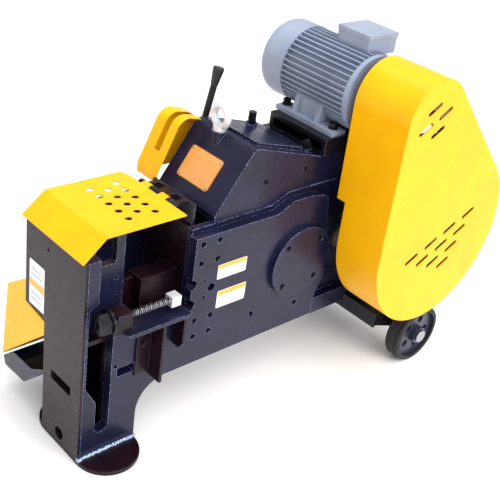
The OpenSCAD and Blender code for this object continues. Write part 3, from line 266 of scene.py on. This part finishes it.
# %% The finishes by slot
FINISH = {
    # Alkyd enamel, sprayed over hot-rolled plate: satin, near navy; edges bright as rubbed paint and painted
    # highlight.
    "graphite_paint": paint("graphite_enamel_sprayed", "#181a38", "#12142b", 0.3, coat=0.08, edge="#a9b9ea",
                            wear_and_highlight=1.0, peel=0.15, gloss=0.3),
    # The same enamel in black on the welded sub-frames.
    "black_paint": paint("black_enamel_sprayed", "#0f0d15", "#14101a", 0.3, coat=0.08, edge="#7d849c", gloss=0.3),
    # Safety yellow enamel on folded sheet: warm, with a shallow orange peel and softly shaded folds.
    "yellow_paint": paint("yellow_enamel_sprayed", "#ffbd00", "#fcb400", 0.36, coat=0.05, peel_mm=2.0, gloss=0.25,
                          soft_mm=3.5),
    # Grey machine enamel over an aluminium casting: the sand texture reads through.
    "motor_grey_paint": paint("grey_enamel_on_casting", "#98a1b6", "#8a94aa", 0.38, peel_mm=1.0, peel=0.2,
                              gloss=0.4),
    # Bright zinc on the lifting eye and the stop's pad: almost white, and it mirrors the room only in part.
    "zinc_paint": metal("bright_zinc_plate", "#eceef4", "#d8dbe4", 0.36, metallic=0.35),
    # The shafts lie along Y, so their turning marks are squeezed along Y and run round them.
    "machined_steel": metal("turned_steel", "#b9bcc2", "#9b9fa8", 0.32, (1, 14, 1)),
    "blackened_steel": metal("black_oxide_steel", "#15151a", "#22222a", 0.3, metallic=0.6),
    "weld_steel": metal("brushed_weld_steel", "#b4c4e6", "#8797bb", 0.3, grain_mm=1.6, relief=0.4),
    "bronze": metal("bearing_bronze", "#b98a4a", "#a07238", 0.38, (1, 10, 1)),
    "copper_winding": moulded("lacquered_copper_wire", "#a85a24", "#8a4518", 0.4, coat=0.3),
    "orange_film": moulded("orange_printed_film", "#eda95f", "#e59f54", 0.34, relief=0.03, coat=0.15),
    "white_film": moulded("white_printed_film", "#f4f5f8", "#e8eaf0", 0.35, relief=0.03, coat=0.3),
    "black_rubber": moulded("belt_rubber", "#15151a", "#202027", 0.7),
    "cast_iron_dark": paint("painted_cast_iron", "#20212b", "#2a2b36", 0.5, peel_mm=2.5, peel=0.5),
    "grip_plastic": moulded("black_moulded_grip", "#141418", "#1c1c22", 0.42),
    "tyre_rubber": moulded("tyre_rubber", "#17171b", "#202026", 0.68, grain_mm=1.2, relief=0.3),
}
# The leg's front face, turned away from the light, and the throat behind it, with its ram and blades, take a
# near-black enamel that is painted shade.
FINISH["greasy_enamel"] = paint("black_enamel_painted_shade", "#160914", "#1f0c16", 0.3, coat=0.05, edge="#7a7f9c",
                                wear_and_highlight=0.6, gloss=0.2)
# These parts get the near-black enamel as painted shade, because they face away from the lamps or lie deep in the
# throat.
PAINTED_SHADE_PARTS = {"front_plate", "case_front_wall", "blade_seat", "screw_block", "leg_far_cheek", "ram",
          "foot_plate", "shelf_bracket", "moving_blade", "fixed_blade"}
slot_of = {part["node"]: part["material_slot"] for part in frame["record"]["subparts"]}
finish_of = {name: FINISH["greasy_enamel" if name in PAINTED_SHADE_PARTS else slot_of[name]] for name in nodes}
for name, node in nodes.items():
    for place in node.material_slots:
        place.material = finish_of[name]
print("finishes:", len(FINISH))

# %% [markdown]
# ## Rounded edges
# A plate cut by flame or guillotine never has a perfectly sharp edge, and it is this small round that catches the
# light. The exact parts are sharp, so a copy of each stands in for it: doubles merged, flat faces joined and each
# edge bevelled by a real width. The belt guard's punched slots stay crisp, so its width is nought.

# %% Rounded copies
def settle(piece, name):
    """Gives a finished piece its body, and lets it stand for the node of this name."""
    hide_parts(name)
    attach(piece, body_of[name])


def piece_from(name, mesh, finish=None):
    made = bpy.data.objects.new(name, mesh)
    bpy.context.collection.objects.link(made)
    if finish:
        made.data.materials.clear()
        made.data.materials.append(finish)
    return made


def baked(piece):
    """Swaps a piece's live modifiers for the plain mesh that they make."""
    seen = piece.evaluated_get(bpy.context.evaluated_depsgraph_get())
    flat = bpy.data.meshes.new_from_object(seen)
    piece.modifiers.clear()
    piece.data = flat
    return piece


def smoothed(piece, sharp=38):
    """Smooth shading that keeps flat faces flat: each normal is weighted by the area of the faces around it."""
    piece.data.shade_smooth()
    piece.data.set_sharp_from_angle(angle=math.radians(sharp))
    weigh = piece.modifiers.new("normals", "WEIGHTED_NORMAL")
    weigh.keep_sharp = True
    return baked(piece)


def merged(name):
    """A working copy of an exact part, with its doubled corners merged."""
    lump = bmesh.new()
    lump.from_mesh(nodes[name].data)
    bmesh.ops.remove_doubles(lump, verts=lump.verts, dist=0.01 * MM)
    return lump


def flattened(name):
    """A merged copy whose flat faces are whole again instead of cut in triangles."""
    lump = merged(name)
    bmesh.ops.dissolve_limit(lump, angle_limit=math.radians(0.5), verts=lump.verts, edges=lump.edges)
    return lump


def placed_mesh(lump, name, matrix=Matrix()):
    lump.transform(matrix)
    mesh = bpy.data.meshes.new(name)
    lump.to_mesh(mesh)
    lump.free()
    return mesh


def rounded(name, width_mm):
    skin = piece_from(name + "_skin", placed_mesh(flattened(name), name + "_skin"), finish_of[name])
    if width_mm:
        bevel = skin.modifiers.new("edge", "BEVEL")
        bevel.width = width_mm * MM
        bevel.segments = 2
        bevel.limit_method = "ANGLE"
        bevel.angle_limit = math.radians(30)
        baked(skin)
    smoothed(skin)
    settle(skin, name)
    return skin


EDGES_MM = {
    "front_plate": 1.6, "near_side_plate": 1.8, "far_side_plate": 1.6, "leg_far_cheek": 1.2, "foot_plate": 2.0,
    "case_near_wall": 1.5, "case_far_wall": 1.5, "case_cover": 2.4, "blade_seat": 1.5, "bar_rest": 1.2,
    "side_shelf": 1.2, "shelf_bracket": 1.0, "screw_block": 1.5, "offcut_hood": 0.8, "offcut_tray": 0.8,
    "motor_mount": 1.5, "mount_bolts": 0.7, "terminal_box": 2.5, "axle_beam": 1.5,
    "cover_hinge": 0.8, "top_cover": 0.9, "screw_pad": 1.5, "ram": 1.0, "moving_blade": 0.8, "fixed_blade": 0.8,
    "lever_guard": 0.8, "bearing_covers": 1.8, "clutch_lever": 0.8, "motor_housing": 0.5, "motor_fan_cowl": 0.5,
    "belt_guard": 0, "lifting_eye": 1.0, "lever_grip": 1.0, "wheel_axle": 1.5, "guard_back_plate": 0.6,
}
faces = 0
for name, width in EDGES_MM.items():
    faces += len(rounded(name, width).data.polygons)
print("rounded copies:", len(EDGES_MM), "faces:", faces)

# %% [markdown]
# ## Wheels
# Each wheel keeps the exact hub with its five holes. A turned tyre goes round it, with soft shoulders and two
# grooves in the tread, because a solid rubber tyre is cast and has no sharp corners.

# %% Wheels
def islands(name):
    """The separate lumps of a part, each as its low and high corner, in metres."""
    lump = merged(name)
    waiting, found = set(lump.verts), []
    while waiting:
        front = [waiting.pop()]
        mine = list(front)
        while front:
            for edge in front.pop().link_edges:
                for vert in edge.verts:
                    if vert in waiting:
                        waiting.discard(vert)
                        front.append(vert)
                        mine.append(vert)
        spots = [nodes[name].matrix_world @ v.co for v in mine]
        found.append([Vector(pick(c[i] for c in spots) for i in range(3)) for pick in (min, max)])
    lump.free()
    return sorted(found, key=lambda box: tuple(box[0]))


def turned(profile, steps, closed=False, radius_at=None):
    """Turns (height, radius) points in mm about Z. Radius_at(row, angle) may scale a row, as for a hexagon."""
    lump = bmesh.new()
    rows = []
    for row, (height, radius) in enumerate(profile):
        ring = []
        for k in range(steps):
            angle = 2 * math.pi * k / steps
            reach = radius * (radius_at(row, angle) if radius_at else 1) * MM
            ring.append(lump.verts.new((reach * math.cos(angle), reach * math.sin(angle), height * MM)))
        rows.append(ring)
    pairs = list(zip(rows, rows[1:])) + ([(rows[-1], rows[0])] if closed else [])
    for low, high in pairs:
        for k in range(steps):
            lump.faces.new((low[k], low[(k + 1) % steps], high[(k + 1) % steps], high[k]))
    if not closed:
        lump.faces.new(list(reversed(rows[0])))
        lump.faces.new(rows[-1])
    bmesh.ops.recalc_face_normals(lump, faces=lump.faces)
    return lump


def joined(name, pieces):
    """One piece from several, each with its own finish."""
    with bpy.context.temp_override(active_object=pieces[0], selected_editable_objects=pieces,
                                   selected_objects=pieces):
        bpy.ops.object.join()
    pieces[0].name = name
    return pieces[0]


ALONG_Y = Matrix.Rotation(math.radians(-90), 4, "X")
ALONG_X = Matrix.Rotation(math.radians(90), 4, "Y")
TREAD_MM, SHOULDER_MM, SET_IN_MM = 14.0, 6.0, 6.0
GROOVE_MM = {"from": -14, "to": -8, "deep": 2.5, "slant": 1}


def dressed_wheel(name):
    low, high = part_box(name)
    middle = (low + high) / 2
    outer = (high.z - low.z) / 2 / MM
    half = (high.y - low.y) / 2 / MM - SET_IN_MM
    core = outer - TREAD_MM
    hub_lump = flattened(name)
    rim = [f for f in hub_lump.faces
           if all(math.hypot(v.co.x - middle.x, v.co.z - middle.z) > (core - 0.3) * MM for v in f.verts)]
    bmesh.ops.delete(hub_lump, geom=rim, context="FACES")
    hub = piece_from(name + "_hub", placed_mesh(hub_lump, name + "_hub"), FINISH["hub_paint"])
    side = [(-half, core), (-half, outer - SHOULDER_MM)]
    side += [(-half + SHOULDER_MM * (1 - math.cos(a)), outer - SHOULDER_MM * (1 - math.sin(a)))
             for a in (math.radians(d) for d in (22, 45, 68, 90))]
    floor_r = outer - GROOVE_MM["deep"]
    groove = [(GROOVE_MM["from"], outer), (GROOVE_MM["from"] + GROOVE_MM["slant"], floor_r),
              (GROOVE_MM["to"] - GROOVE_MM["slant"], floor_r), (GROOVE_MM["to"], outer)]
    half_ring = side + groove
    ring = half_ring + [(-h, r) for h, r in reversed(half_ring)]
    tyre = piece_from(name + "_tyre", placed_mesh(turned(ring, 96, closed=True), name + "_tyre",
                                                  Matrix.Translation(middle) @ ALONG_Y), FINISH["tyre_rubber"])
    wheel = smoothed(joined(name + "_dressed", [tyre, hub]), 32)
    settle(wheel, name)
    return wheel


FINISH["hub_paint"] = paint("blue_grey_hub_enamel", "#2c3348", "#252b3e", 0.4, coat=0.2)
for name in ("near_wheel", "far_wheel"):
    print(name, "faces:", len(dressed_wheel(name).data.polygons))

# %% [markdown]
# ## Socket-head screws
# Rows of screws hold the plates, the bearing covers and the gear case cover. They repeat, so Geometry Nodes puts one
# modelled head on every place. The places and the sizes are read from the exact screws, and each head is turned
# by chance, as hand-driven screws are.

# %% Geometry Nodes helpers
def group_with(name, inputs):
    """A Geometry Nodes group with one geometry input, the named inputs given, and one geometry output."""
    group = bpy.data.node_groups.new(name, "GeometryNodeTree")
    group.interface.new_socket(name="Geometry", in_out="INPUT", socket_type="NodeSocketGeometry")
    group.interface.new_socket(name="Geometry", in_out="OUTPUT", socket_type="NodeSocketGeometry")
    for label, kind in inputs:
        group.interface.new_socket(name=label, in_out="INPUT", socket_type=kind)
    return group, add(group, "NodeGroupInput"), add(group, "NodeGroupOutput")


def grown(piece, group, values, finish):
    """Runs a group on a piece with these input values, and returns the plain mesh that it makes."""
    run = piece.modifiers.new(group.name, "NODES")
    run.node_group = group
    for item in group.interface.items_tree:
        if item.in_out == "INPUT" and item.name in values:
            run[item.identifier] = values[item.name]
    run[next(i.identifier for i in group.interface.items_tree if i.name == "Finish")] = finish
    baked(piece)
    if finish.name not in piece.data.materials:
        piece.data.materials.append(finish)
    return piece


def ended(group, given, result, geometry):
    """Ends a group: its instances become real, they take the finish, and they leave by the output."""
    real = add(group, "GeometryNodeRealizeInstances", {"Geometry": geometry})
    coated = add(group, "GeometryNodeSetMaterial", {"Geometry": real.outputs["Geometry"],
                                                    "Material": given.outputs["Finish"]})
    group.links.new(coated.outputs["Geometry"], result.inputs["Geometry"])


# %% Socket-head screws
def hexagonal(rows):
    """Makes some rows of a turned profile six-sided, with the corners at the row's own radius."""
    def scale(row, angle):
        if row not in rows:
            return 1
        return math.cos(math.radians(30)) / math.cos((angle % math.radians(60)) - math.radians(30))
    return scale


# A unit head, one in radius and one in height. Its last two rows are the socket.
HEAD = [(0, 1.0), (0.86, 1.0), (0.97, 0.93), (1.0, 0.84), (1.0, 0.60), (0.97, 0.56), (0.45, 0.54)]
head_lump = turned([(h / MM, r / MM) for h, r in HEAD], 24, radius_at=hexagonal((5, 6)))
head_object = bpy.data.objects.new("socket_head", placed_mesh(head_lump, "socket_head"))

screws = islands("case_screws")
centres, sizes, facing = [], [], []
for low, high in screws:
    out = -1.0 if (low.y + high.y) < 0 else 1.0
    radius = (high.x - low.x) / 2
    centres.append(((low.x + high.x) / 2, high.y if out < 0 else low.y, (low.z + high.z) / 2))
    sizes += [radius, radius, high.y - low.y]
    facing.append(out)

spots = bpy.data.meshes.new("screw_places")
spots.from_pydata(centres, [], [])
spots.attributes.new("size", "FLOAT_VECTOR", "POINT").data.foreach_set("vector", sizes)
spots.attributes.new("facing", "FLOAT", "POINT").data.foreach_set("value", facing)

group, given, result = group_with("screws_on_places", [("Head", "NodeSocketObject"), ("Seed", "NodeSocketInt"),
                                                       ("Finish", "NodeSocketMaterial")])
head_in = add(group, "GeometryNodeObjectInfo", {"Object": given.outputs["Head"]})
size_in = add(group, "GeometryNodeInputNamedAttribute", {"Name": "size"}, data_type="FLOAT_VECTOR")
facing_in = add(group, "GeometryNodeInputNamedAttribute", {"Name": "facing"}, data_type="FLOAT")
tilt = add(group, "ShaderNodeMath", {0: facing_in.outputs["Attribute"], 1: math.radians(-90)},
           operation="MULTIPLY")
tilt_vector = add(group, "ShaderNodeCombineXYZ", {"X": tilt.outputs["Value"]})
tilt_turn = add(group, "FunctionNodeEulerToRotation", {"Euler": tilt_vector.outputs["Vector"]})
put = add(group, "GeometryNodeInstanceOnPoints", {"Points": given.outputs["Geometry"],
                                                  "Instance": head_in.outputs["Geometry"],
                                                  "Rotation": tilt_turn.outputs["Rotation"],
                                                  "Scale": size_in.outputs["Attribute"]})
chance = add(group, "FunctionNodeRandomValue", {"Seed": given.outputs["Seed"]}, data_type="FLOAT")
chance.inputs[2].default_value, chance.inputs[3].default_value = 0.0, math.radians(60)
spin_vector = add(group, "ShaderNodeCombineXYZ", {"Z": chance.outputs[1]})
spin = add(group, "GeometryNodeRotateInstances", {"Instances": put.outputs["Instances"],
                                                  "Rotation": spin_vector.outputs["Vector"]})
ended(group, given, result, spin.outputs["Instances"])

screw_piece = piece_from("case_screws_turned", spots)
grown(screw_piece, group, {"Head": head_object, "Seed": 7}, FINISH["blackened_steel"])
settle(smoothed(screw_piece, 40), "case_screws")
print("screws:", len(screws), "faces:", len(screw_piece.data.polygons))

# %% [markdown]
# ## Stop screw
# The stop screw sets how far a bar may reach. Its thread is bright and worn, and its knob is a black hexagon with
# a flange. Geometry Nodes sweeps a small round along a spiral for the thread.

# %% Stop screw
screw_low, screw_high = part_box("stop_screw")
centre_y, centre_z = ((screw_low[i] + screw_high[i]) / 2 for i in (1, 2))
block_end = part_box("screw_block")[1].x / MM
pad_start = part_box("screw_pad")[0].x / MM
knob_start = screw_low.x / MM


def on_screw_axis(lump, name, finish):
    place = Matrix.Translation((0, centre_y, centre_z)) @ ALONG_X
    return piece_from(name, placed_mesh(lump, name, place), finish)


# Heights from the screw's free end, then radii: the socket, the end face, the hexagon and the flange.
knob_profile = [(8, 1), (8, 6.2), (1.6, 6.4), (1, 7.2), (1, 21), (2.4, 23.6), (4, 26.2), (26, 26.4), (27, 26.4),
                (27, 29.2), (27.8, 30), (34, 30), (35, 29), (35, 8)]
knob = on_screw_axis(turned([(h + knob_start, r) for h, r in knob_profile], 48, radius_at=hexagonal((6, 7, 8))),
                     "stop_knob", FINISH["blackened_steel"])
core = on_screw_axis(turned([(knob_start + 34, 7), (knob_start + 34, 8), (pad_start - 1, 8), (pad_start - 1, 4.4),
                             (pad_start + 8, 4.4)], 32), "stop_core", FINISH["blackened_steel"])

group, given, result = group_with("thread", [("Turns", "NodeSocketFloat"), ("Radius", "NodeSocketFloat"),
                                             ("Length", "NodeSocketFloat"), ("Crest", "NodeSocketFloat"),
                                             ("Place", "NodeSocketVector"), ("Finish", "NodeSocketMaterial")])
path = add(group, "GeometryNodeCurveSpiral", {"Resolution": 28, "Rotations": given.outputs["Turns"],
                                              "Start Radius": given.outputs["Radius"],
                                              "End Radius": given.outputs["Radius"],
                                              "Height": given.outputs["Length"]})
crest = add(group, "GeometryNodeCurvePrimitiveCircle", {"Resolution": 6, "Radius": given.outputs["Crest"]})
swept = add(group, "GeometryNodeCurveToMesh", {"Curve": path.outputs["Curve"],
                                               "Profile Curve": crest.outputs["Curve"], "Fill Caps": True})
laid = add(group, "GeometryNodeTransform", {"Geometry": swept.outputs["Mesh"],
                                            "Translation": given.outputs["Place"],
                                            "Rotation": (0.0, math.radians(90), 0.0)})
ended(group, given, result, laid.outputs["Geometry"])

thread = piece_from("stop_thread", bpy.data.meshes.new("stop_thread"))
PITCH_MM, CREST_MM, SPIRAL_R_MM = 5.0, 1.1, 7.9
thread_start = block_end + 9
thread_long = pad_start - 3 - thread_start
grown(thread, group, {"Turns": thread_long / PITCH_MM, "Radius": SPIRAL_R_MM * MM, "Length": thread_long * MM,
                      "Crest": CREST_MM * MM, "Place": (thread_start * MM, centre_y, centre_z)},
      FINISH["machined_steel"])
stop = smoothed(joined("stop_screw_dressed", [knob, core, thread]), 34)
settle(stop, "stop_screw")
print("stop screw faces:", len(stop.data.polygons))

# %% [markdown]
# ## Weld at the foot
# A hand-laid weld joins the leg to its foot. It is a row of overlapping drops of uneven size, which Geometry
# Nodes grows on a row of points.

# %% Weld
weld_low, weld_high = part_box("foot_weld")
BEADS, SUNK_MM = 74, 3
bead_row = bpy.data.meshes.new("weld_places")
bead_row.from_pydata([(weld_low.x + (weld_high.x - weld_low.x) * k / (BEADS - 1), weld_high.y - SUNK_MM * MM,
                       weld_low.z + SUNK_MM * MM) for k in range(BEADS)], [], [])
group, given, result = group_with("weld_beads", [("Bead", "NodeSocketFloat"), ("Seed", "NodeSocketInt"),
                                                 ("Finish", "NodeSocketMaterial")])
drop = add(group, "GeometryNodeMeshIcoSphere", {"Radius": given.outputs["Bead"], "Subdivisions": 3})
size_by = add(group, "FunctionNodeRandomValue", {"Seed": given.outputs["Seed"]}, data_type="FLOAT_VECTOR")
size_by.inputs[0].default_value, size_by.inputs[1].default_value = (0.5, 0.75, 0.75), (0.8, 1.25, 1.15)
rows = add(group, "GeometryNodeInstanceOnPoints", {"Points": given.outputs["Geometry"],
                                                   "Instance": drop.outputs["Mesh"],
                                                   "Scale": size_by.outputs[0]})
ended(group, given, result, rows.outputs["Instances"])
weld = piece_from("foot_weld_beads", bead_row)
grown(weld, group, {"Bead": 7.0 * MM, "Seed": 11}, FINISH["weld_steel"])
weld.data.shade_smooth()
settle(weld, "foot_weld")
print("weld faces:", len(weld.data.polygons))

# %% [markdown]
# ## Labels and name plate
# The labels are printed film with a gold band and no wording. The name plate is a riveted sheet with a raised
# border, also blank. Each is drawn as a sheet with round corners in its own plane.

# %% Labels and name plate
def sheet(name, centre, across, along, size_mm, thick_mm, corner_mm, finish):
    """A thin sheet with round corners, in the plane of across and along, and thick towards their cross product."""
    out = across.cross(along)
    lump = bmesh.new()
    half = [size_mm[0] / 2 - corner_mm, size_mm[1] / 2 - corner_mm]
    outline = []
    for turn, (sx, sy) in enumerate(((1, 1), (-1, 1), (-1, -1), (1, -1))):
        for step in range(6):
            angle = math.radians(90 * turn + 18 * step)
            spot = (sx * half[0] + corner_mm * math.cos(angle), sy * half[1] + corner_mm * math.sin(angle))
            outline.append(centre + (across * spot[0] + along * spot[1]) * MM)
    under = [lump.verts.new(p) for p in outline]
    over_it = [lump.verts.new(p + out * thick_mm * MM) for p in outline]
    lump.faces.new(over_it)
    lump.faces.new(list(reversed(under)))
    for k in range(len(under)):
        lump.faces.new((under[k], under[(k + 1) % len(under)], over_it[(k + 1) % len(under)], over_it[k]))
    bmesh.ops.recalc_face_normals(lump, faces=lump.faces)
    return piece_from(name, placed_mesh(lump, name), finish)


FINISH["gold_film"] = moulded("gold_printed_film", "#f0b62c", "#e3a621", 0.3, relief=0.03, coat=0.4)
FINISH["pale_ink"] = moulded("pale_printed_grey", "#c9cedd", "#bfc5d6", 0.4, relief=0.02, coat=0.2)
UP, SIDE, FORE = Vector((0, 0, 1)), Vector((0, 1, 0)), Vector((1, 0, 0))
# As shares of a label's height: where its band is, how tall the band is, and where the plain lines are.
MIDDLE_BAND = (0.0, 0.16, (-0.34, -0.22, 0.2, 0.32))
TOP_BAND = (0.35, 0.26, (-0.30, -0.14, 0.02))
parts = []
for low, high in islands("blank_labels"):
    size, middle = (high - low) / MM, (low + high) / 2
    on_front = size.x < size.y
    across = -SIDE if on_front else FORE
    width, tall = (size.y if on_front else size.x), size.z
    face = Vector((high.x, middle.y, middle.z)) if on_front else Vector((middle.x, high.y, middle.z))
    parts.append(sheet("film", face, across, UP, (width, tall), 0.6, 3, FINISH["white_film"]))
    out = across.cross(UP)
    lift = face + out * 0.55 * MM
    band_at, band_tall, lines = MIDDLE_BAND if on_front else TOP_BAND
    parts.append(sheet("band", lift + UP * band_at * tall * MM, across, UP, (width - 3, tall * band_tall), 0.2, 1,
                       FINISH["gold_film"]))
    for row in lines:
        parts.append(sheet("panel", lift + UP * row * tall * MM, across, UP, (width * 0.74, tall * 0.07), 0.2, 0.8,
                           FINISH["pale_ink"]))
labels = joined("blank_labels_dressed", parts)
settle(labels, "blank_labels")

plate = nodes["name_plate"].data
largest = max(plate.polygons, key=lambda face: face.area if face.normal.z > 0.1 else 0)
out = largest.normal.normalized()
along = SIDE.cross(out).normalized() * -1
spots = [v.co for v in plate.vertices]
reach = {axis: [pick(p.dot(d) for p in spots) for pick in (min, max)] for axis, d in
         (("out", out), ("along", along), ("side", SIDE))}
middle = (sum(reach["along"]) / 2) * along + (sum(reach["side"]) / 2) * SIDE + reach["out"][0] * out
wide = (reach["side"][1] - reach["side"][0]) / MM
tall = (reach["along"][1] - reach["along"][0]) / MM
across = along.cross(out)
FINISH["plate_border"] = moulded("dark_orange_border", "#b8672a", "#a85c24", 0.34, relief=0.03, coat=0.4)
parts = [sheet("border", middle, across, along, (wide, tall), 1.6, 8, FINISH["plate_border"]),
         sheet("field", middle + out * 1.5 * MM, across, along, (wide - 4, tall - 4), 0.5, 7, FINISH["orange_film"])]
RIVET_IN_MM = 8
stance = out.to_track_quat("Z", "Y").to_matrix().to_4x4()
for sx in (-1, 1):
    for sy in (-1, 1):
        corner = across * sx * (wide / 2 - RIVET_IN_MM) + along * sy * (tall / 2 - RIVET_IN_MM)
        spot = middle + corner * MM + out * 1.9 * MM
        dome = turned([(0, 3.0), (0.7, 2.8), (1.3, 2.0), (1.6, 0.8)], 16)
        parts.append(piece_from("rivet", placed_mesh(dome, "rivet", Matrix.Translation(spot) @ stance),
                                FINISH["machined_steel"]))
settle(joined("name_plate_dressed", parts), "name_plate")
print("labels and name plate made")
